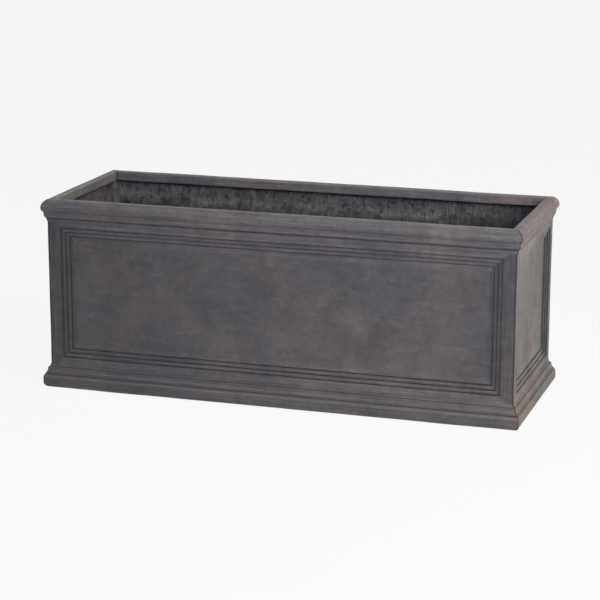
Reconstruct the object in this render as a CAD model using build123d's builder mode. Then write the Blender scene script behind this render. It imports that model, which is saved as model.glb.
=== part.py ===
"""Trough planter with a faux-lead face: four moulded wall panels between mitred mouldings.

Millimetres. X runs along the trough, Y to the back, Z up. The origin is the middle of the
footprint, on the ground. Every section below is drawn once, with x as the distance outside
the wall face and y as the height, and is then placed on each side of the trough.
"""
import os
from math import atan2, degrees

from build123d import *

os.makedirs("parts", exist_ok=True)

# Overall sizes, over the noses of the plinth and up to the rim's flat top
overall_length = 1000
overall_depth = 376
overall_height = 395

# Laminate and the glue line that every bonded seat leaves
wall_thickness = 6.5
bond_gap = 0.2

# Plinth moulding, from the ground up: torus, quirk, cavetto, flat fillet and a small cove
plinth_nose_out = 13.3
plinth_foot_out = 2
plinth_nose_height = 21
plinth_torus_out = 9.2
plinth_torus_rise = 8.8
plinth_quirk_rise = 1
plinth_cavetto_rise = 9.7
plinth_fillet_out = 5.3
plinth_fillet_rise = 2
plinth_cove_rise = 6
plinth_cove_radius = 7
ledge_height = 14
ledge_width = 22

# Rim moulding, measured down from its flat top: torus, fillet, cove and an inner lip
rim_nose_out = 10.6
rim_nose_drop = 17
rim_shoulder_in = 3
rim_shoulder_radius = 10
rim_torus_out = 6.2
rim_torus_drop = 25.5
rim_fillet_out = 5.3
rim_fillet_drop = 34.5
rim_height = 44.5
rim_cove_radius = 18
rim_lip_in = 14.1
rim_lip_drop = 20
rim_ridge_radius = 3.5
rim_crown_thickness = 15

# Thin edge that both coves keep where they die on the wall face
cove_edge = 0.6

# Sunk panel frame on every wall: three steps round a flat field
frame_front_margin = 28.5
frame_end_margin = 24
frame_foot_margin = 16.5
frame_head_margin = 13.3
frame_steps = 3
frame_step_width = 8.6
frame_step_depth = 2.9
frame_riser_draft = 18
field_cover_width = 4
arris_flat = 0.8

# Floor panel and its drain holes
floor_thickness = 7
drain_hole_diameter = 20
drain_hole_count = 3
drain_hole_pitch = 300

# Coved laminate strips that bond wall to wall and wall to floor
corner_strip_leg = 10.5
floor_strip_leg = 10
strip_edge = 1.5

# Levels and half sizes that follow from the above
wall_half_length = overall_length / 2 - plinth_nose_out
wall_half_depth = overall_depth / 2 - plinth_nose_out
plinth_torus_top = plinth_nose_height + plinth_torus_rise
plinth_quirk_top = plinth_torus_top + plinth_quirk_rise
plinth_cavetto_top = plinth_quirk_top + plinth_cavetto_rise
plinth_fillet_top = plinth_cavetto_top + plinth_fillet_rise
plinth_height = plinth_fillet_top + plinth_cove_rise
wall_top = overall_height - rim_crown_thickness
rim_bottom = overall_height - rim_height
lip_bottom = overall_height - rim_lip_drop
floor_top = ledge_height + floor_thickness
inside_half_length = wall_half_length - wall_thickness
inside_half_depth = wall_half_depth - wall_thickness
frame_depth = frame_steps * frame_step_depth


class Side:
    """One side of the trough, seen from outside: its planes, mitres and right-hand corner."""

    def __init__(self, name, corner_name, turn, reach, half_run, frame_margin):
        outward = Vector(0, -1, 0).rotate(Axis.Z, turn)
        along = Vector(1, 0, 0).rotate(Axis.Z, turn)
        foot = outward * reach
        floor_edge = outward * (reach - wall_thickness) + Vector(0, 0, floor_top)
        floor_corner = floor_edge + along * (half_run - wall_thickness)
        self.name = name
        self.corner_name = corner_name
        self.half_run = half_run
        self.frame_margin = frame_margin
        self.face = Plane(origin=foot, x_dir=along, z_dir=outward)
        self.section = Plane(origin=foot, x_dir=outward, z_dir=-along)
        self.floor_edge = Plane(origin=floor_edge, x_dir=-outward, z_dir=along)
        self.floor_corner = Plane(origin=floor_corner, x_dir=-outward)
        self.mitres = []
        self.arrises = []
        for end in (-1, 1):
            corner = foot + along * (end * half_run)
            diagonal = (along * end + outward).normalized()
            self.mitres.append(Plane(origin=corner, z_dir=along * end - outward))
            self.arrises.append(Plane(origin=corner - diagonal * arris_flat, z_dir=diagonal))


long_side = (wall_half_depth, wall_half_length, frame_front_margin)
short_side = (wall_half_length, wall_half_depth, frame_end_margin)
sides = [
    Side("front", "front_right", 0, *long_side),
    Side("right_end", "back_right", 90, *short_side),
    Side("back", "back_left", 180, *long_side),
    Side("left_end", "front_left", 270, *short_side),
]


# Wall panels: a thin laminate that follows the sunk frame inside as one smooth swelling
def frame_rectangle(side, grow):
    """The frame's outermost line, grown by so much, in the plane of the wall face."""
    low = plinth_height + frame_foot_margin - grow
    high = rim_bottom - frame_head_margin + grow
    with Locations((0, (low + high) / 2)):
        Rectangle(2 * (side.half_run - side.frame_margin + grow), high - low)


for side in sides:
    with BuildPart() as wall:
        with BuildSketch(side.face):
            with Locations((0, (ledge_height + wall_top) / 2)):
                Rectangle(2 * side.half_run, wall_top - ledge_height)
        extrude(amount=-wall_thickness)
        with BuildSketch(side.face.offset(-wall_thickness)):
            frame_rectangle(side, wall_thickness)
        with BuildSketch(side.face.offset(-wall_thickness - frame_depth)):
            frame_rectangle(side, field_cover_width - (frame_steps - 1) * frame_step_width)
        loft()
        for step in range(frame_steps):
            with BuildSketch(side.face.offset(-step * frame_step_depth)):
                frame_rectangle(side, -step * frame_step_width)
            extrude(amount=-frame_step_depth, taper=frame_riser_draft, mode=Mode.SUBTRACT)
        for cut in side.mitres + side.arrises:
            split(bisect_by=cut, keep=Keep.BOTTOM)
    wall.part.label = f"{side.name}_wall"
    export_step(wall.part, f"parts/{side.name}_wall.step")


# Plinth lengths: the wall's foot and the floor panel both stand on the ledge inside
plinth_foot_radius = plinth_nose_out - plinth_foot_out
with BuildSketch() as plinth_section:
    with BuildLine():
        JernArc((plinth_foot_out, 0), (1, 0), plinth_foot_radius, 90)
        Line((plinth_nose_out, plinth_foot_radius), (plinth_nose_out, plinth_nose_height))
        TangentArc(
            (plinth_nose_out, plinth_nose_height),
            (plinth_torus_out, plinth_torus_top),
            tangent=(0, 1),
        )
        Line((plinth_torus_out, plinth_torus_top), (plinth_torus_out, plinth_quirk_top))
        TangentArc(
            (plinth_fillet_out, plinth_cavetto_top),
            (plinth_torus_out, plinth_quirk_top),
            tangent=(0, -1),
        )
        Line((plinth_fillet_out, plinth_cavetto_top), (plinth_fillet_out, plinth_fillet_top))
        RadiusArc(
            (plinth_fillet_out, plinth_fillet_top),
            (cove_edge, plinth_height),
            plinth_cove_radius,
        )
        Polyline(
            (cove_edge, plinth_height),
            (bond_gap, plinth_height),
            (bond_gap, ledge_height),
            (-ledge_width, ledge_height),
            (-ledge_width, 0),
            (plinth_foot_out, 0),
        )
    make_face()

for side in sides:
    with BuildPart() as plinth:
        with BuildSketch(side.section):
            add(plinth_section.sketch)
        extrude(amount=side.half_run + plinth_nose_out, both=True)
        for cut in side.mitres:
            split(bisect_by=cut, keep=Keep.BOTTOM)
    plinth.part.label = f"{side.name}_plinth"
    export_step(plinth.part, f"parts/{side.name}_plinth.step")


# Rim lengths: a groove underneath takes the top edge of the wall up to its roof
rim_nose = overall_height - rim_nose_drop
rim_torus_bottom = overall_height - rim_torus_drop
rim_fillet_bottom = overall_height - rim_fillet_drop
rim_ridge = rim_ridge_radius - rim_lip_in

# The torus turns over in two tangent arcs: a flat haunch, then the shoulder's tighter one
crown_width = rim_nose_out + rim_shoulder_in
crown_rise = rim_nose_drop - rim_shoulder_radius
crown_span = crown_width - rim_shoulder_radius
haunch_radius = (crown_width**2 + crown_rise**2 - rim_shoulder_radius**2) / (2 * crown_span)
haunch_turn = degrees(atan2(crown_rise, haunch_radius - crown_width))
shoulder_turn = 90 - haunch_turn

with BuildSketch() as rim_section:
    with BuildLine():
        RadiusArc(
            (cove_edge, rim_bottom),
            (rim_fillet_out, rim_fillet_bottom),
            rim_cove_radius,
        )
        Line((rim_fillet_out, rim_fillet_bottom), (rim_torus_out, rim_torus_bottom))
        TangentArc((rim_nose_out, rim_nose), (rim_torus_out, rim_torus_bottom), tangent=(0, -1))
        haunch = JernArc((rim_nose_out, rim_nose), (0, 1), haunch_radius, haunch_turn)
        JernArc(haunch @ 1, haunch % 1, rim_shoulder_radius, shoulder_turn)
        Line((-rim_shoulder_in, overall_height), (rim_ridge, overall_height))
        JernArc((rim_ridge, overall_height), (-1, 0), rim_ridge_radius, 90)
        Polyline(
            (-rim_lip_in, overall_height - rim_ridge_radius),
            (-rim_lip_in, lip_bottom),
            (-wall_thickness - bond_gap, lip_bottom),
            (-wall_thickness - bond_gap, wall_top),
            (bond_gap, wall_top),
            (bond_gap, rim_bottom),
            (cove_edge, rim_bottom),
        )
    make_face()

for side in sides:
    with BuildPart() as rim:
        with BuildSketch(side.section):
            add(rim_section.sketch)
        extrude(amount=side.half_run + rim_nose_out, both=True)
        for cut in side.mitres:
            split(bisect_by=cut, keep=Keep.BOTTOM)
    rim.part.label = f"{side.name}_rim"
    export_step(rim.part, f"parts/{side.name}_rim.step")


# Floor panel: it lies on the plinth's ledge between the feet of the walls
with BuildPart() as floor_panel:
    with BuildSketch(Plane.XY.offset(ledge_height)):
        Rectangle(2 * (inside_half_length - bond_gap), 2 * (inside_half_depth - bond_gap))
    extrude(amount=floor_thickness)
    with Locations((0, 0, floor_top)):
        with GridLocations(drain_hole_pitch, 0, drain_hole_count, 1):
            Hole(radius=drain_hole_diameter / 2)
floor_panel.part.label = "floor_panel"
export_step(floor_panel.part, "parts/floor_panel.step")


# Coved strips: a right angle of laminate with a hollow face, drawn with its heel at zero
def coved_angle(leg):
    """An angle section whose two legs thin out to strip_edge round a quarter circle."""
    with BuildSketch() as angle:
        with BuildLine():
            Polyline((leg, strip_edge), (leg, 0), (0, 0), (0, leg), (strip_edge, leg))
            CenterArc(center=(leg, leg), radius=leg - strip_edge, start_angle=180, arc_size=90)
        make_face()
    return angle.sketch


corner_section = coved_angle(corner_strip_leg)
for side in sides:
    with BuildPart() as corner_strip:
        with BuildSketch(side.floor_corner):
            add(corner_section)
        extrude(amount=lip_bottom - floor_top)
    corner_strip.part.label = f"{side.corner_name}_corner_strip"
    export_step(corner_strip.part, f"parts/{side.corner_name}_corner_strip.step")

floor_section = coved_angle(floor_strip_leg)
floor_strip_stop = wall_thickness + max(corner_strip_leg, floor_strip_leg)
for side in sides:
    with BuildPart() as floor_strip:
        with BuildSketch(side.floor_edge):
            add(floor_section)
        extrude(amount=side.half_run - floor_strip_stop, both=True)
    floor_strip.part.label = f"{side.name}_floor_strip"
    export_step(floor_strip.part, f"parts/{side.name}_floor_strip.step")
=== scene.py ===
"""Trough planter with a faux-lead face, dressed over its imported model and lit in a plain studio.

Metres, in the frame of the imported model: X runs along the trough, Y to the back, Z up.
"""

import bpy
import numpy as np
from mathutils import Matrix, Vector


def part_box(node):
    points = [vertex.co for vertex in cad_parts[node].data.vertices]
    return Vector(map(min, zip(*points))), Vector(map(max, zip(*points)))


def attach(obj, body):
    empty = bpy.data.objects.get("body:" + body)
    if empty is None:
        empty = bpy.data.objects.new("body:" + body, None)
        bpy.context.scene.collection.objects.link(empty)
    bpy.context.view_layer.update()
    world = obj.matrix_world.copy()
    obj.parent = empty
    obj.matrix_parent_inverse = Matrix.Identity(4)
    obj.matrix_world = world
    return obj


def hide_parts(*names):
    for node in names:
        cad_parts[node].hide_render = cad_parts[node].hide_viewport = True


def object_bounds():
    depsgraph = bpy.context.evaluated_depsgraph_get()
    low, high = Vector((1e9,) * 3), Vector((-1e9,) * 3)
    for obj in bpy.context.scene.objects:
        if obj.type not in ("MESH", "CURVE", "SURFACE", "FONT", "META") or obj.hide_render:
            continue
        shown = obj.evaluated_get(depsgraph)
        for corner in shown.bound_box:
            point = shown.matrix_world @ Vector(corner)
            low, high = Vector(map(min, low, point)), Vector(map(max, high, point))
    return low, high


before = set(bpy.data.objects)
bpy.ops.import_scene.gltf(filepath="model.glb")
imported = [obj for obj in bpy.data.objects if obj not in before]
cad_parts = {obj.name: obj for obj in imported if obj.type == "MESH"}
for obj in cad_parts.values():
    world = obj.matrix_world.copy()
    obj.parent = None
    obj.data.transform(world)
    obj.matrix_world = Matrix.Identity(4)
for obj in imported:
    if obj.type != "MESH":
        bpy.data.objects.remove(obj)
box_low, box_high = [np.array(corner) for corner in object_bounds()]


# Plinth: four mitred lengths that carry the walls, with a ledge inside for the floor panel.
# Each is a laminate of resin and slate powder laid up in a mould, then bonded at its mitres.
# Outside it has a torus, a quirk, a cavetto, a flat fillet and a small cove that dies on the wall.
mm = 0.001
plinth_nose_out = 13.3 * mm
half_length = box_high[0] - plinth_nose_out
half_depth = box_high[1] - plinth_nose_out
sides = {
    "front": (np.array([0, -1, 0]), np.array([1, 0, 0]), half_depth, half_length),
    "right_end": (np.array([1, 0, 0]), np.array([0, 1, 0]), half_length, half_depth),
    "back": (np.array([0, 1, 0]), np.array([-1, 0, 0]), half_depth, half_length),
    "left_end": (np.array([-1, 0, 0]), np.array([0, -1, 0]), half_length, half_depth),
}


def on_side(side, run, out, up):
    """Points of a side in the planter's frame: so far along its run, out of its face and up."""
    outward, along, reach, _ = sides[side]
    run, out, up = np.broadcast_arrays(run, out, up)
    return run[..., None] * along + (reach + out)[..., None] * outward + up[..., None] * [0, 0, 1]


def unevenness(points, length, seed, waves=24):
    """A smooth random swelling: the sum of plane sine waves of about one length, which run in
    random directions with random phases, over the root of their number."""
    rng = np.random.default_rng(seed)
    heading = rng.normal(size=(3, waves))
    heading *= 2 * np.pi / (length * rng.uniform(0.7, 1.6, waves)) / np.linalg.norm(heading, axis=0)
    return np.sin(points @ heading + rng.uniform(0, 6.3, waves)).sum(axis=-1) / np.sqrt(waves)


def hand_made(points, sway=0.22 * mm):
    """The points moved by a slow random swelling in each direction, and kept inside the planter's
    box, so that neighbours that share an edge still share it."""
    drift = np.stack([unevenness(points, 0.13, seed) for seed in (11, 12, 13)], axis=-1)
    return np.clip(points + sway * drift, box_low, box_high)


def arc(centre, radius, start, stop, count):
    """Points on a circle about the centre, evenly from one angle in degrees to the other."""
    turn = np.radians(np.linspace(start, stop, count))
    return np.column_stack([centre[0] + radius * np.cos(turn), centre[1] + radius * np.sin(turn)])


def eased(outline, reach):
    """A closed outline with each corner of more than 25 degrees rounded: a parabola that leaves
    one edge and meets the next, up to the reach from the corner."""
    back = np.roll(outline, 1, axis=0) - outline
    ahead = np.roll(outline, -1, axis=0) - outline
    back_size = np.linalg.norm(back, axis=1)
    ahead_size = np.linalg.norm(ahead, axis=1)
    straight = -(back * ahead).sum(axis=1) / (back_size * ahead_size)
    sharp = straight < np.cos(np.radians(25))
    step = np.where(sharp, np.minimum(reach, 0.45 * np.minimum(back_size, ahead_size)), 0)
    start = outline + back * (step / back_size)[:, None]
    stop = outline + ahead * (step / ahead_size)[:, None]
    share = np.linspace(0, 1, 5)[None, :, None]
    curve = (1 - share) ** 2 * start[:, None] + 2 * share * (1 - share) * outline[:, None]
    curve = curve + share**2 * stop[:, None]
    return curve[sharp[:, None] | (np.arange(5) == 2)]


def filled(stations, widest):
    """The stations with evenly spaced ones added wherever a gap is wider than the widest."""
    gaps = np.diff(stations)
    counts = np.ceil(gaps / widest - 1e-6).astype(int).clip(1)
    within = np.arange(counts.sum()) - np.repeat(np.cumsum(counts) - counts, counts)
    inserted = np.repeat(stations[:-1], counts) + within * np.repeat(gaps / counts, counts)
    return np.append(inserted, stations[-1])


def near(rows, spots):
    """How strongly each row is marked: the highest of the bell curves about the spots, each of
    which gives its place out and up, its reach and its height, the lengths in millimetres."""
    spots = np.array(spots)
    apart = np.linalg.norm(rows[:, None] - spots[:, :2] * mm, axis=2)
    return (spots[:, 3] * np.exp(-((apart / (spots[:, 2] * mm)) ** 2))).max(axis=1)


def moulding_rows(outline, hollows, ridges):
    """A moulding's section as rows to carry along it: the eased outline with its flats filled,
    each row's outward normal, its black wash and painted shade near the hollows, its rub and
    painted highlight near the ridges, and its distance round the outline."""
    outline = eased(outline, 0.7 * mm)
    ring = np.vstack([outline, outline[:1]])
    length = np.append(0, np.cumsum(np.linalg.norm(np.diff(ring, axis=0), axis=1)))
    place = filled(length, 1.3 * mm)[:-1]
    rows = np.column_stack([np.interp(place, length, ring[:, k]) for k in (0, 1)])
    tangent = np.roll(rows, -1, axis=0) - np.roll(rows, 1, axis=0)
    normal = np.column_stack([tangent[:, 1], -tangent[:, 0]])
    normal /= np.linalg.norm(normal, axis=1)[:, None]
    return rows, normal, near(rows, hollows), near(rows, ridges), place


def put_piece(name, points, faces, uv, marks, finishes, finish_of_face=None):
    """A mesh object at the origin: its faces shaded smooth but for edges over 40 degrees, with a
    UV map called grain in metres, one float attribute for each mark, and its finishes."""
    mesh = bpy.data.meshes.new(name)
    mesh.from_pydata(points.tolist(), [], faces)
    mesh.shade_smooth()
    mesh.set_sharp_from_angle(angle=np.radians(40))
    corner = np.empty(len(mesh.loops), dtype=np.int32)
    mesh.loops.foreach_get("vertex_index", corner)
    grain = mesh.uv_layers.new(name="grain")
    grain.data.foreach_set("uv", (uv if len(uv) == len(corner) else uv[corner]).ravel())
    for mark, value in marks.items():
        layer = mesh.attributes.new(mark, "FLOAT", "POINT")
        layer.data.foreach_set("value", value.ravel().astype(np.float32))
    for finish in finishes:
        mesh.materials.append(finish)
    if finish_of_face is not None:
        mesh.polygons.foreach_set("material_index", finish_of_face.astype(np.int32))
    mesh.update()
    piece = bpy.data.objects.new(name, mesh)
    bpy.context.scene.collection.objects.link(piece)
    return piece


def mitred_length(name, side, section, shown_from, pale, finish):
    """A moulding carried along its side: every row of its section runs on by its own distance out,
    so both ends lie in 45 degree planes. Just short of them the rows sink by a quarter circle,
    which eases the mitre's edges. Rows outside shown_from stay as they are, inside the joint. The
    lip inside is paler than the rest."""
    rows, normal, wash_and_shade, rub_and_highlight, place = section
    half_run = sides[side][3]
    setback = np.array([0, 0.08, 0.2, 0.4, 0.65, 1, 1.6, 2.6, 4]) * mm
    middle = np.linspace(-1, 1, int(2 * half_run / (6 * mm)))[1:-1]
    share = np.concatenate([np.full(9, -1), middle, np.full(9, 1)])
    setback = np.concatenate([setback, np.full(len(middle), 4 * mm), setback[::-1]])
    easing = 0.9 * mm
    short = np.clip(easing - setback, 0, easing)
    sunk = easing - np.sqrt(easing**2 - short**2)
    shown = (rows[:, 0] > shown_from[0]) & (rows[:, 1] > shown_from[1]) | (rows[:, 0] < shown_from[2])
    moved = rows[None] - normal[None] * (sunk[:, None] * shown[None])[..., None]
    run = share[:, None] * (half_run + rows[None, :, 0] - setback[:, None])
    points = hand_made(on_side(side, run, moved[..., 0], moved[..., 1]))
    stations, count = run.shape
    index = np.arange(stations * count).reshape(stations, count)
    following = np.roll(index, -1, axis=1)
    quads = np.stack([index[:-1], index[1:], following[1:], following[:-1]], axis=-1)
    faces = quads.reshape(-1, 4).tolist()
    faces += [index[0].tolist(), index[-1][::-1].tolist()]
    uv = np.stack([run + half_run, np.broadcast_to(place, run.shape)], axis=-1).reshape(-1, 2)
    joint = np.exp(-((setback / (1.9 * mm)) ** 2))[:, None]
    marks = {
        "wash_and_shade": np.maximum(np.broadcast_to(wash_and_shade, run.shape), joint),
        "rub_and_highlight": np.broadcast_to(rub_and_highlight, run.shape) * (1 - joint),
        "brushed": np.ones(run.shape),
        "pale": np.broadcast_to(np.where(rows[:, 0] < -13 * mm, 1.3, pale), run.shape),
    }
    piece = put_piece(name, points.reshape(-1, 3), faces, uv, marks, [finish])
    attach(piece, "root")
    return piece


def add_node(tree, kind, inputs, **settings):
    """One shader node, whose inputs by name or number are values or other nodes' sockets."""
    node = tree.nodes.new(kind)
    for name, value in settings.items():
        setattr(node, name, value)
    for name, value in inputs.items():
        if isinstance(value, bpy.types.NodeSocket):
            tree.links.new(value, node.inputs[name])
        else:
            node.inputs[name].default_value = value
    return node


def noise(tree, where, scale, detail, rough, low, high, low_value=0, high_value=1, bend=0):
    """Cloudy noise at a place, stretched so that low to high becomes low_value to high_value."""
    cloud = add_node(tree, "ShaderNodeTexNoise", {
        "Vector": where, "Scale": scale, "Detail": detail, "Roughness": rough, "Distortion": bend,
    })
    return add_node(tree, "ShaderNodeMapRange", {
        "Value": cloud.outputs[0], "From Min": low, "From Max": high,
        "To Min": low_value, "To Max": high_value,
    }).outputs[0]


def times(tree, first, second):
    """The product of two numbers."""
    return add_node(tree, "ShaderNodeMath", {0: first, 1: second}, operation="MULTIPLY").outputs[0]


def tinted(tree, share, first, second, how="MIX"):
    """The first colour mixed with the second by a share."""
    mix = add_node(tree, "ShaderNodeMix", {0: share, 6: first, 7: second}, data_type="RGBA",
                   blend_type=how)
    return mix.outputs[2]


# The faux-lead face: slate grey resin with mauve-brown and blue-grey clouds, streaked along the
# mouldings where it was brushed, with a black wash left in the hollows and rubbed ridges. It also
# carries painted light: highlights on some ridges, shade towards the left end and along the rim
# lip's lower edge, a warm tint on the right end, and light and shade in that end's pale mark.
lead_face = bpy.data.materials.new("lead_face")
lead_face.use_nodes = True
tree = lead_face.node_tree
gloss = tree.nodes["Principled BSDF"]
place = add_node(tree, "ShaderNodeTexCoord", {}).outputs["Object"]
grain = add_node(tree, "ShaderNodeUVMap", {}, uv_map="grain").outputs[0]
wash_and_shade = add_node(tree, "ShaderNodeAttribute", {}, attribute_name="wash_and_shade").outputs["Fac"]
rub_and_highlight = add_node(tree, "ShaderNodeAttribute", {}, attribute_name="rub_and_highlight").outputs["Fac"]
brushed = add_node(tree, "ShaderNodeAttribute", {}, attribute_name="brushed").outputs["Fac"]
pale = add_node(tree, "ShaderNodeAttribute", {}, attribute_name="pale").outputs["Fac"]
fine_grain = add_node(tree, "ShaderNodeMapping", {"Vector": grain, "Scale": (9, 420, 1)}).outputs[0]
broad_grain = add_node(tree, "ShaderNodeMapping", {"Vector": grain, "Scale": (3.5, 130, 1)}).outputs[0]
mauve = noise(tree, place, 5.2, 5, 0.55, 0.38, 0.62, bend=0.5)
stain = noise(tree, place, 17, 6, 0.62, 0.46, 0.72, bend=0.3)
bloom = noise(tree, place, 11, 5, 0.6, 0.5, 0.75)
speckle = noise(tree, place, 70, 6, 0.7, 0.3, 0.7)
drawn_out = add_node(tree, "ShaderNodeMapping", {"Vector": place, "Scale": (16, 16, 62)}).outputs[0]
smear = noise(tree, drawn_out, 1, 6, 0.7, 0.53, 0.70, bend=0.6)
bare = noise(tree, drawn_out, 1.7, 5, 0.65, 0.56, 0.74, bend=0.4)
streak = noise(tree, fine_grain, 1, 5, 0.72, 0.3, 0.7)
band = noise(tree, broad_grain, 1, 4, 0.6, 0.3, 0.7, 0.78, 1.22)
scratch = noise(tree, fine_grain, 0.55, 3, 0.5, 0.60, 0.74, bend=0.4)
pits = noise(tree, place, 900, 3, 0.6, 0.2, 0.8)
colour = tinted(tree, mauve, (0.103, 0.102, 0.116, 1), (0.145, 0.125, 0.131, 1))
colour = tinted(tree, times(tree, bloom, 0.55), colour, (0.158, 0.155, 0.168, 1))
colour = tinted(tree, times(tree, stain, 0.6), colour, (0.066, 0.064, 0.070, 1))
colour = tinted(tree, times(tree, smear, 0.4), colour, (0.062, 0.060, 0.068, 1))
colour = tinted(tree, times(tree, bare, 0.4), colour, (0.215, 0.200, 0.205, 1))
level = add_node(tree, "ShaderNodeMapRange", {"Value": speckle, "To Min": 0.84, "To Max": 1.16}).outputs[0]
colour = tinted(tree, 1.0, colour, level, "MULTIPLY")
level = add_node(tree, "ShaderNodeMapRange", {"Value": streak, "To Min": 0.66, "To Max": 1.32}).outputs[0]
level = times(tree, level, band)
colour = tinted(tree, brushed, colour, tinted(tree, 1.0, colour, level, "MULTIPLY"))
# The pale mark: a paler inner lip, paler rails and darker stiles, and on the right end painted light and
# shade.
level = add_node(tree, "ShaderNodeMapRange", {
    "Value": pale, "From Max": 1.5, "To Min": 0.82, "To Max": 2,
}).outputs[0]
colour = tinted(tree, 1.0, colour, level, "MULTIPLY")
place_x = add_node(tree, "ShaderNodeSeparateXYZ", {0: place}).outputs[0]
# Painted shade: the colour darkens towards the left end, where less of the right lamps' light falls.
level = add_node(tree, "ShaderNodeMapRange", {
    "Value": place_x, "From Min": -0.45, "From Max": 0.02, "To Min": 0.84, "To Max": 1.0,
}).outputs[0]
colour = tinted(tree, 1.0, colour, level, "MULTIPLY")
# Painted light: the right end face is tinted warm, as the warm right lamp would light it.
right_end_warm_light = add_node(tree, "ShaderNodeMapRange", {
    "Value": place_x, "From Min": 0.4862, "From Max": 0.4872,
}).outputs[0]
colour = tinted(tree, right_end_warm_light, colour, tinted(tree, 1.0, colour, (1.08, 1.0, 0.91, 1), "MULTIPLY"))
patchy = noise(tree, place, 38, 4, 0.6, 0.35, 0.6, 0.7, 1)
colour = tinted(tree, times(tree, times(tree, scratch, brushed), 0.55), colour, (0.030, 0.028, 0.032, 1))
# Darkens the black wash in the hollows and joints, and the painted shade along the lower edge of the rim's
# lip.
colour = tinted(tree, times(tree, wash_and_shade, patchy), colour, (0.016, 0.016, 0.019, 1))
# Lightens the rubbed edges, and on some ridges painted highlights.
colour = tinted(tree, times(tree, rub_and_highlight, patchy), colour, (0.30, 0.285, 0.28, 1))
relief = add_node(tree, "ShaderNodeBump", {
    "Strength": 0.35, "Distance": 0.0006, "Height": speckle,
}).outputs[0]
relief = add_node(tree, "ShaderNodeBump", {
    "Strength": times(tree, brushed, 0.45), "Distance": 0.0004, "Height": streak, "Normal": relief,
}).outputs[0]
relief = add_node(tree, "ShaderNodeBump", {
    "Strength": 0.2, "Distance": 0.0002, "Height": pits, "Normal": relief,
}).outputs[0]
tree.links.new(colour, gloss.inputs["Base Color"])
tree.links.new(relief, gloss.inputs["Normal"])
tree.links.new(noise(tree, place, 30, 4, 0.6, 0.3, 0.7, 0.46, 0.66), gloss.inputs["Roughness"])
gloss.inputs["Specular IOR Level"].default_value = 0.45

outline = np.vstack([
    arc((2, 11.3), 11.3, -90, 0, 12),
    arc((1.806, 21), 11.494, 0, 49.96, 9),
    arc((19.313, 40.5), 14.013, 223.8, 180, 9),
    arc((7.572, 49.121), 7, 251.06, 190, 8),
    [(0.3, 50), (0.2, 50), (0.2, 14), (-22, 14), (-22, 0)],
]) * mm
hollows = [(9.6, 29.6, 2.8, 1), (3.2, 43.7, 1.3, 1)]
# Light on the ridges: rubbed wear on the edges of the quirk and the fillet, and painted highlights on the
# torus top and the up-facing cavetto.
ridges = [(12.4, 25, 3, 0.3), (5.9, 36, 2, 0.2), (9.2, 31, 0.8, 0.3), (5.3, 42.4, 0.8, 0.3)]
section = moulding_rows(outline, hollows, ridges)
for side in sides:
    shown_from = (0.3 * mm, 0.1 * mm, -1)
    length = mitred_length(f"{side}_plinth_length", side, section, shown_from, 0.3, lead_face)
    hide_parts(f"{side}_plinth")


# Floor panel: a flat hand-laid laminate sheet that lies on the plinth's ledge, bonded round its
# edge. Three drain holes are drilled in a row, and the chopped glass mat shows on its top.
def lattice(across, down, cell_across, cell_down, seed):
    """Value noise between -1 and 1: random heights on a grid of cells, joined by smooth steps."""
    cells = 211
    heights = np.random.default_rng(seed).uniform(-1, 1, (cells, cells))
    across, down = np.broadcast_arrays(across / cell_across + 1000, down / cell_down + 1000)
    left, low = np.floor(across).astype(int), np.floor(down).astype(int)
    a, b = across - left, down - low
    a, b = a * a * (3 - 2 * a), b * b * (3 - 2 * b)
    at = lambda i, j: heights[(left + i) % cells, (low + j) % cells]
    return (at(0, 0) * (1 - a) + at(1, 0) * a) * (1 - b) + (at(0, 1) * (1 - a) + at(1, 1) * a) * b


def strands(across, down, seed, lean=0.0):
    """Raised glass strands as a height from 0 to 1: ridges where a warped value noise, stretched
    down the sheet and leaning by so much, passes through nought."""
    bent = across + lean * down + 6 * mm * lattice(across, down, 33 * mm, 41 * mm, seed)
    ridge = 1 - np.abs(lattice(bent, down, 7 * mm, 62 * mm, seed + 1))
    fine = 1 - np.abs(lattice(bent, down, 3.6 * mm, 38 * mm, seed + 2))
    amount = 0.5 + 0.5 * lattice(across, down, 48 * mm, 30 * mm, seed + 3)
    return (0.6 * ridge**5 + 0.4 * fine**4) * (0.35 + 0.65 * amount)


def thickened(quads, count):
    """Faces of a closed sheet: the quads of its face, the same turned over for its back, whose
    vertices follow count later, and a quad across every border edge that only one face uses."""
    edges = np.concatenate([np.stack([quads[:, k], quads[:, (k + 1) % 4]], axis=1) for k in range(4)])
    key = np.sort(edges, axis=1) @ np.array([count, 1])
    _, first, times_used = np.unique(key, return_index=True, return_counts=True)
    border = edges[first[times_used == 1]]
    rim = np.column_stack([border[:, 1], border[:, 0], border[:, 0] + count, border[:, 1] + count])
    return np.vstack([quads, quads[:, ::-1] + count, rim]), len(quads)


def grid_quads(rows, columns):
    """Quads of a grid whose vertices are numbered row by row."""
    index = np.arange(rows * columns).reshape(rows, columns)
    return np.stack([index[:-1, :-1], index[:-1, 1:], index[1:, 1:], index[1:, :-1]], axis=-1)


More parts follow.
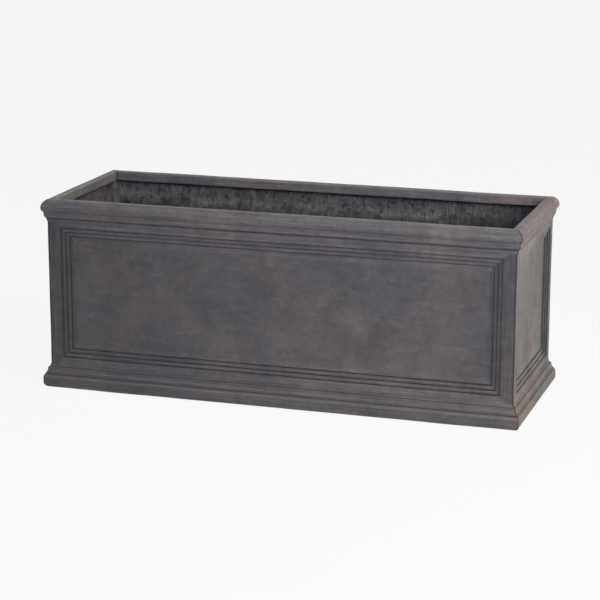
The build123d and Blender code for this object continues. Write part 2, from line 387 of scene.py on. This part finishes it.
laminate = bpy.data.materials.new("laminate")
laminate.use_nodes = True
tree = laminate.node_tree
gloss = tree.nodes["Principled BSDF"]
place = add_node(tree, "ShaderNodeTexCoord", {}).outputs["Object"]
grain = add_node(tree, "ShaderNodeUVMap", {}, uv_map="grain").outputs[0]
raised = add_node(tree, "ShaderNodeAttribute", {}, attribute_name="strand").outputs["Fac"]
hollow = add_node(tree, "ShaderNodeAttribute", {}, attribute_name="wash_and_shade").outputs["Fac"]
down_grain = add_node(tree, "ShaderNodeMapping", {"Vector": grain, "Scale": (420, 34, 1)}).outputs[0]
fibre = noise(tree, down_grain, 1, 6, 0.78, 0.42, 0.66, bend=0.9)
resin = noise(tree, place, 24, 6, 0.7, 0.36, 0.64)
lumps = noise(tree, place, 150, 5, 0.75, 0.3, 0.7, bend=1.5)
pit_shade = noise(tree, place, 95, 5, 0.72, 0.52, 0.64, bend=1.0)
colour = tinted(tree, resin, (0.098, 0.098, 0.120, 1), (0.185, 0.180, 0.205, 1))
colour = tinted(tree, times(tree, fibre, 0.9), colour, (0.56, 0.545, 0.575, 1))
colour = tinted(tree, times(tree, raised, 0.6), colour, (0.380, 0.370, 0.390, 1))
# Painted shade: near-black spots stand for the shade in small pits of the laminate.
colour = tinted(tree, times(tree, pit_shade, 0.85), colour, (0.014, 0.014, 0.018, 1))
# Painted shade: the hollow mark darkens the low places of the relief, the band under the rim's lip and the
# shaded parts inside the trough.
colour = tinted(tree, hollow, colour, (0.018, 0.018, 0.023, 1))
relief = add_node(tree, "ShaderNodeBump", {"Strength": 0.9, "Distance": 0.0016, "Height": fibre}).outputs[0]
relief = add_node(tree, "ShaderNodeBump", {
    "Strength": 0.8, "Distance": 0.0018, "Height": lumps, "Normal": relief,
}).outputs[0]
tree.links.new(colour, gloss.inputs["Base Color"])
tree.links.new(relief, gloss.inputs["Normal"])
tree.links.new(noise(tree, place, 40, 4, 0.6, 0.3, 0.7, 0.42, 0.7), gloss.inputs["Roughness"])
gloss.inputs["Specular IOR Level"].default_value = 0.4

hole_radius = 10 * mm
patch = 26 * mm
patch_cells, hole_cells = 14, 6
low, high = [np.array(corner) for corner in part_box("floor_panel")]
hole_x = np.array([-300, 0, 300]) * mm
patch_steps = np.linspace(-patch, patch, patch_cells + 1)
patch_lines = (hole_x[:, None] + patch_steps[None]).ravel()
across = filled(np.concatenate([[low[0]], patch_lines, [high[0]]]), 4 * mm)
down = filled(np.concatenate([[low[1]], patch_steps, [high[1]]]), 4 * mm)
x, y = np.meshgrid(across, down)
hole = hole_x[np.abs(x[..., None] - hole_x).argmin(axis=-1)]
ring = np.maximum(np.abs(x - hole), np.abs(y)) / patch
inner = hole_cells / patch_cells
toward = np.stack([x - hole, y], axis=-1) / np.maximum(ring, 1e-9)[..., None]
round_point = hole_radius * toward / np.maximum(np.linalg.norm(toward, axis=-1), 1e-9)[..., None]
share = np.clip((ring - inner) / (1 - inner), 0, 1)[..., None]
warped = (1 - share) * round_point + share * toward
in_patch = (ring < 1 - 1e-6) & (ring > inner - 1e-6)
x = np.where(in_patch, hole + warped[..., 0], x)
y = np.where(in_patch, warped[..., 1], y)
centre = 0.25 * (ring[:-1, :-1] + ring[1:, :-1] + ring[:-1, 1:] + ring[1:, 1:])
quads = grid_quads(*x.shape)[centre > inner].reshape(-1, 4)
raised = strands(x, y, 70, 0.5) + strands(y, x, 80, -0.3)
relief = 0.5 * raised + 0.5 * lattice(x, y, 28 * mm, 31 * mm, 90)
edge = np.clip((np.minimum(high[0] - np.abs(x), high[1] - np.abs(y))) / (10 * mm), 0, 1)
top = np.stack([x, y, high[2] + (relief.clip(0, 1.2) * 0.5 * mm) * edge - 0.3 * mm], axis=-1).reshape(-1, 3)
bottom = np.stack([x, y, np.full(x.shape, low[2])], axis=-1).reshape(-1, 3)
used = np.unique(quads)
renumber = np.zeros(x.size, dtype=int)
renumber[used] = np.arange(len(used))
faces, _ = thickened(renumber[quads], len(used))
points = np.vstack([top[used], bottom[used]])
# The wash mark here is painted shade in the low places of the strands' relief.
marks = {
    "strand": np.tile(raised.ravel()[used].clip(0, 1) * 0.6, 2),
    "wash_and_shade": np.tile((0.5 * (1 - relief)).ravel()[used].clip(0, 0.6), 2),
}
panel = put_piece("floor_panel_laminate", points, faces.tolist(), points[:, :2], marks, [laminate])
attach(panel, "root")
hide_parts("floor_panel")


# Walls: four laminate panels of one thickness, bonded into the mitred corners. The face is cast
# against a mould with a sunk frame of three steps round a flat field, and the inside is the rough
# back of the hand-laid glass mat, which swells in softly behind the field.
wall_low, wall_high = 14 * mm, 380 * mm
frame_low, frame_high = 65 * mm, 337.2 * mm
stiles = {"front": 28.5 * mm, "right_end": 24 * mm, "back": 28.5 * mm, "left_end": 24 * mm}
step_width, step_depth, steps = 8.6 * mm, 2.9 * mm, 3
thick = 6.5 * mm
arris = 1.9 * mm
arris_cut = 0.293


def soft_step(value):
    """Nought below 0 and one above 1, joined by a smooth cubic."""
    value = np.clip(value, 0, 1)
    return value * value * (3 - 2 * value)


riser_lines = np.array([-1.3, -0.5, -0.2, 0.1, 0.4, 0.7, 1.0, 1.4, 2.2]) * mm
riser_lines = (np.arange(steps)[:, None] * step_width + riser_lines).ravel()
for side, stile in stiles.items():
    half_run = sides[side][3]
    corner_lines = np.array([arris_cut, 0.45, 0.65, 1, 1.35, 1.75, 2.3, 3]) * arris
    first_half = np.concatenate([corner_lines, stile + riser_lines])
    run_lines = filled(np.concatenate([first_half, 2 * half_run - first_half[::-1]]), 4.3 * mm) - half_run
    up_lines = np.concatenate([
        [wall_low, 46 * mm], frame_low + riser_lines, frame_high - riser_lines[::-1], [wall_high],
    ])
    up_lines = filled(up_lines, 3.5 * mm)
    run, up = np.meshgrid(run_lines, up_lines)
    from_side = half_run - stile - np.abs(run)
    from_rail = np.minimum(up - frame_low, frame_high - up)
    inside = np.minimum(from_side, from_rail)
    riser = (inside[..., None] - np.arange(steps) * step_width + 0.2 * mm) / (1.2 * mm)
    sunk = step_depth * soft_step(riser).sum(axis=-1)
    corner = half_run - np.abs(run)
    turned = np.clip(1 - corner / arris, 0, 1)
    sunk = sunk + arris * (1 - np.sqrt(1 - turned**2))
    face = hand_made(on_side(side, run, -sunk, up))
    field = soft_step(inside / (30 * mm))
    swell = 0.15 * mm * (unevenness(face, 0.07, 31) - 1)
    face = face + sides[side][0] * (swell * field)[..., None]

    back_run = run * (half_run - thick) / (half_run - arris_cut * arris)
    pad = soft_step((inside + 6.5 * mm) / (20.5 * mm)) * steps * step_depth
    seed = 100 + 10 * list(sides).index(side)
    raised = strands(back_run, up, seed, 0.12)
    ledges = np.zeros(run.shape)
    for k, height in enumerate((348, 331, 296, 232, 150, 84)):
        line = height * mm + 9 * mm * lattice(back_run, 0, 58 * mm, 1, seed + 4 + k)
        line = line + 2.5 * mm * lattice(back_run, 0, 9 * mm, 1, seed + 14 + k)
        size = 0.5 + 0.5 * lattice(back_run, 0, 90 * mm, 1, seed + 24 + k)
        ledges = ledges + size * (soft_step((line - up) / (2.2 * mm)) - 0.5) * (-1) ** k
    lumps = lattice(back_run, up, 21 * mm, 26 * mm, seed + 34)
    lumps = lumps + 0.5 * lattice(back_run, up, 8 * mm, 10 * mm, seed + 35)
    relief = (0.9 * raised + 0.45 * ledges + 0.3 * lumps).clip(-1.2, 1.8)
    back = on_side(side, back_run, -thick - pad - 0.6 * mm * relief, up)
    points = np.vstack([face.reshape(-1, 3), back.reshape(-1, 3)])
    faces, shown = thickened(grid_quads(*run.shape).reshape(-1, 4), run.size)

    groove = inside[..., None] - np.arange(steps) * step_width - 0.5 * mm
    wash_and_shade = np.exp(-((groove / (1.2 * mm)) ** 2)).sum(axis=-1)
    seam = np.exp(-(((corner - 2.5 * mm) / (1.6 * mm)) ** 2))
    rubbed = np.exp(-(((corner - 1.4 * mm) / (1.8 * mm)) ** 2))
    # On the ends the light strip along the arris is rubbed wear and painted highlight in one; on the front
    # and back the dark line there is the joint.
    if side in ("front", "back"):
        wash_and_shade = np.maximum(wash_and_shade, seam)
        rub_and_highlight = 0 * rubbed
    else:
        rub_and_highlight = 0.6 * rubbed
    wash_and_shade = wash_and_shade.clip(0, 1)
    bands = 1 - soft_step((inside - 22 * mm) / (14 * mm))
    pale = 0.28 + bands * np.where(from_side < from_rail, -0.2, 0.3)
    # Painted light and shade on the right end: paler towards the top front, darker near its back corner.
    if side == "right_end":
        pale = pale + 0.6 * soft_step((up - 120 * mm) / (200 * mm)) * soft_step(0.5 - run / half_run)
        pale = pale - 0.45 * soft_step((run - half_run + 62 * mm) / (16 * mm))
    raised_mark = (raised + 0.35 * ledges.clip(0, 1)).clip(0, 1)
    # Painted shade inside the trough: darker in the low places of the relief, darker below a ragged line
    # near 343 mm, a painted shadow line under the rim's lip, darker on the ends and the front, and darker
    # towards the right end of the back wall.
    ragged = 343 * mm + 6 * mm * lattice(back_run, 0, 45 * mm, 1, seed + 40)
    ragged = ragged + 3 * mm * lattice(back_run, 0, 8 * mm, 1, seed + 41)
    dark = (0.3 - 0.6 * relief).clip(0, 0.5) + 0.5 * soft_step((ragged - up) / (9 * mm))
    dark = dark + 0.9 * np.exp(-(((up - 374 * mm) / (4 * mm)) ** 2))
    dark = dark + {"front": 0.1, "left_end": 0.35, "right_end": 0.3, "back": 0}[side]
    dark = dark + (0.35 * soft_step((-back_run - 240 * mm) / (200 * mm)) if side == "back" else 0)
    dark = dark.clip(0, 0.9)
    zeros = np.zeros(run.size)
    marks = {
        "wash_and_shade": np.append(wash_and_shade.ravel(), dark.ravel()),
        "rub_and_highlight": np.append(rub_and_highlight.ravel(), zeros),
        "brushed": np.append(bands.ravel(), zeros),
        "pale": np.append(pale.ravel(), zeros),
        "strand": np.append(zeros, raised_mark.ravel()),
    }
    faces_of_finish = np.ones(len(faces))
    faces_of_finish[:shown] = 0
    corner_index = faces.ravel()
    place_of = np.vstack([np.column_stack([run.ravel(), up.ravel()])] * 2) + half_run
    grain_uv = place_of[corner_index].reshape(-1, 4, 2)
    is_stile = (from_side < from_rail).ravel()
    stile_face = is_stile[faces[:, 0] % run.size] & (np.arange(len(faces)) < shown)
    grain_uv[stile_face] = grain_uv[stile_face][..., ::-1]
    wall = put_piece(f"{side}_wall_panel", points, faces.tolist(), grain_uv.reshape(-1, 2), marks,
                     [lead_face, laminate], faces_of_finish)
    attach(wall, "root")
    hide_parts(f"{side}_wall")


# Bonding strips: coved lengths of wet laminate pressed into the corners, upright between the
# walls and lying along the foot of each wall on the floor panel, with ragged feathered edges.
corner_height = 354 * mm
corner_leg = 10.5 * mm
floor_leg = 10 * mm
face_width = 25 * mm


def coved_strip(name, node, heel, first_leg, second_leg, run, length, leg, seed):
    """A strip carried along its run. Its back is the right angle of its two legs from the heel,
    and its face a quarter circle hollow between them, with strands and a ragged reach."""
    along = filled(np.array([0, length]), 3.5 * mm)
    share = np.linspace(0, 1, 15)
    t, v = np.meshgrid(along, share, indexing="ij")
    reach = leg * (1 + 0.07 * lattice(t, v, 11 * mm, 1, seed) + 0.05 * lattice(t, v, 3.9 * mm, 1, seed + 1))
    turn = np.radians(270 - 90 * v)
    raised = strands(v * face_width, t, seed + 2, 0.2)
    edge = 0.6 * mm
    rough = raised + 0.5 * lattice(t, v, 17 * mm, 0.3, seed + 6)
    hollow = (leg - edge) + 0.5 * mm * rough * np.sin(np.pi * v)
    first = leg + hollow * np.cos(turn)
    second = leg + hollow * np.sin(turn)
    stretch = reach / leg
    first = np.where(v < 0.5, edge + (first - edge) * (1 + (stretch - 1) * (1 - 2 * v)), first)
    second = np.where(v > 0.5, edge + (second - edge) * (1 + (stretch - 1) * (2 * v - 1)), second)
    back_first = np.clip(1 - 2 * v, 0, 1) * reach
    back_second = np.clip(2 * v - 1, 0, 1) * reach
    place = lambda a, b: heel + t[..., None] * run + a[..., None] * first_leg + b[..., None] * second_leg
    points = np.vstack([place(first, second).reshape(-1, 3), place(back_first, back_second).reshape(-1, 3)])
    quads = grid_quads(*t.shape).reshape(-1, 4)
    if np.dot(np.cross(first_leg, second_leg), run) < 0:
        quads = quads[:, ::-1]
    faces, _ = thickened(quads, t.size)
    uv = np.stack([v * face_width, t], axis=-1).reshape(-1, 2)
    # The wash mark here is painted shade in the low places between the strands.
    marks = {
        "strand": np.tile((raised * 1.1).clip(0, 1).ravel(), 2),
        "wash_and_shade": np.tile((0.35 - 0.5 * raised).clip(0, 0.5).ravel(), 2),
    }
    strip = put_piece(name, points, faces.tolist(), np.vstack([uv, uv]), marks, [laminate])
    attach(strip, "root")
    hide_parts(node)


floor_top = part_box("floor_panel")[1][2]
corners = ("front_right", "back_right", "back_left", "front_left")
for k, (side, corner_name) in enumerate(zip(sides, corners)):
    outward, along, reach, half_run = sides[side]
    edge = outward * (reach - thick) + np.array([0, 0, floor_top])
    heel = edge + along * (half_run - thick)
    coved_strip(f"{corner_name}_corner_laminate", f"{corner_name}_corner_strip", heel, -outward, -along,
                np.array([0, 0, 1]), corner_height, corner_leg, 200 + 10 * k)
    half = half_run - thick - corner_leg
    coved_strip(f"{side}_floor_laminate", f"{side}_floor_strip", edge - along * half, -outward,
                np.array([0, 0, 1]), along, 2 * half, floor_leg, 300 + 10 * k)


# Rim: four mitred lengths of moulding that cap the walls, whose top edges sit in a groove below.
# Cast like the plinth, with a cove, a fillet and a torus outside, a flat crown with a painted
# highlight along its inner ridge, and a smooth lip that hangs inside over the rough laminate,
# with painted shade along its lower edge.
outline = np.vstack([
    [(0.3, 348.8)],
    arc((18.453, 348.214), 18, 170, 136.95, 8),
    arc((0.19, 378), 10.41, -54.74, 0, 9),
    arc((-8.006, 378), 18.606, 0, 54.43, 11)[1:],
    arc((-3, 385), 10, 54.43, 90, 8)[1:],
    arc((-10.6, 391.5), 3.5, 90, 180, 8),
    [(-14.1, 375), (-6.7, 375), (-6.7, 380), (0.2, 380), (0.2, 348.8)],
]) * mm
# The dark at the lip's lower inner edge is painted shade under the lip; the other two are black wash in the
# hollows.
hollows = [(2.3, 356.2, 2, 1), (6.4, 369.6, 1.2, 0.2), (-14.1, 375, 1.6, 1)]
# The light on the crown's inner ridge is a painted highlight; the light line on the fillet is rubbed wear
# and painted highlight in one.
ridges = [(5.4, 361, 1, 0.3), (-12.6, 394, 2, 0.5)]
section = moulding_rows(outline, hollows, ridges)
for side in sides:
    shown_from = (0.3 * mm, 0.1 * mm, -6.8 * mm)
    length = mitred_length(f"{side}_rim_length", side, section, shown_from, 0.72, lead_face)
    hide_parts(f"{side}_rim")


# Studio: a pale floor and a white surround, under a wide warm lamp on the right, a cooler one in
# front of the right corner and a weak one overhead. The camera stands a little above the rim,
# right of the front.
world = bpy.data.worlds.new("surround")
world.use_nodes = True
tree = world.node_tree
sky = tree.nodes["Background"]
ray = add_node(tree, "ShaderNodeLightPath", {})
seen = add_node(tree, "ShaderNodeMath", {0: ray.outputs["Is Camera Ray"], 1: ray.outputs["Is Glossy Ray"]},
                operation="MAXIMUM").outputs[0]
seen = add_node(tree, "ShaderNodeMath", {0: seen, 1: ray.outputs["Is Transmission Ray"]},
                operation="MAXIMUM").outputs[0]
sky.inputs["Color"].default_value = (1, 1, 1, 1)
fill = 0.07
strength = add_node(tree, "ShaderNodeMapRange", {"Value": seen, "To Min": fill, "To Max": 1.0}).outputs[0]
tree.links.new(strength, sky.inputs["Strength"])
bpy.context.scene.world = world

mesh = bpy.data.meshes.new("studio_floor")
mesh.from_pydata([(-9, -9, 0), (9, -9, 0), (9, 9, 0), (-9, 9, 0)], [], [(0, 1, 2, 3)])
studio_floor = bpy.data.objects.new("studio_floor", mesh)
bpy.context.scene.collection.objects.link(studio_floor)
paper = bpy.data.materials.new("paper")
paper.use_nodes = True
tree = paper.node_tree
matt = tree.nodes["Principled BSDF"]
matt.inputs["Base Color"].default_value = (0.82, 0.82, 0.82, 1)
matt.inputs["Roughness"].default_value = 0.9
glow = add_node(tree, "ShaderNodeEmission", {"Color": (1, 1, 1, 1), "Strength": 1.0})
ray = add_node(tree, "ShaderNodeLightPath", {})
seen = add_node(tree, "ShaderNodeMath", {0: ray.outputs["Is Camera Ray"], 1: ray.outputs["Is Glossy Ray"]},
                operation="MAXIMUM").outputs[0]
both = add_node(tree, "ShaderNodeMixShader", {
    0: times(tree, seen, 0.9), 1: matt.outputs[0], 2: glow.outputs[0],
})
tree.links.new(both.outputs[0], tree.nodes["Material Output"].inputs["Surface"])
mesh.materials.append(paper)


def add_lamp(name, place, aim, size, power, tint):
    """A square area lamp that faces the aim."""
    lamp = bpy.data.lights.new(name, "AREA")
    lamp.shape = "SQUARE"
    lamp.size = size
    lamp.energy = power
    lamp.color = tint
    holder = bpy.data.objects.new(name, lamp)
    bpy.context.scene.collection.objects.link(holder)
    holder.location = place
    holder.rotation_euler = (Vector(aim) - Vector(place)).to_track_quat("-Z", "Y").to_euler()


add_lamp("right_lamp", (3.0, -0.9, 1.9), (0, 0, 0.2), 1.8, 69, (1, 0.84, 0.54))
add_lamp("front_lamp", (1.9, -2.6, 1.6), (0, 0, 0.2), 1.4, 44, (0.76, 0.79, 1))
add_lamp("overhead_lamp", (0.3, -0.8, 3.2), (0, 0, 0.2), 2.2, 11, (0.8, 0.96, 1))

camera = bpy.data.cameras.new("camera")
camera.lens = 124.604
camera.sensor_width = 36
viewer = bpy.data.objects.new("camera", camera)
bpy.context.scene.collection.objects.link(viewer)
viewer.location = (1.25457, -3.96495, 1.21511)
viewer.rotation_euler = np.radians((76.0267, -0.1076, 17.6171))
bpy.context.scene.camera = viewer
bpy.context.scene.view_settings.view_transform = "Standard"
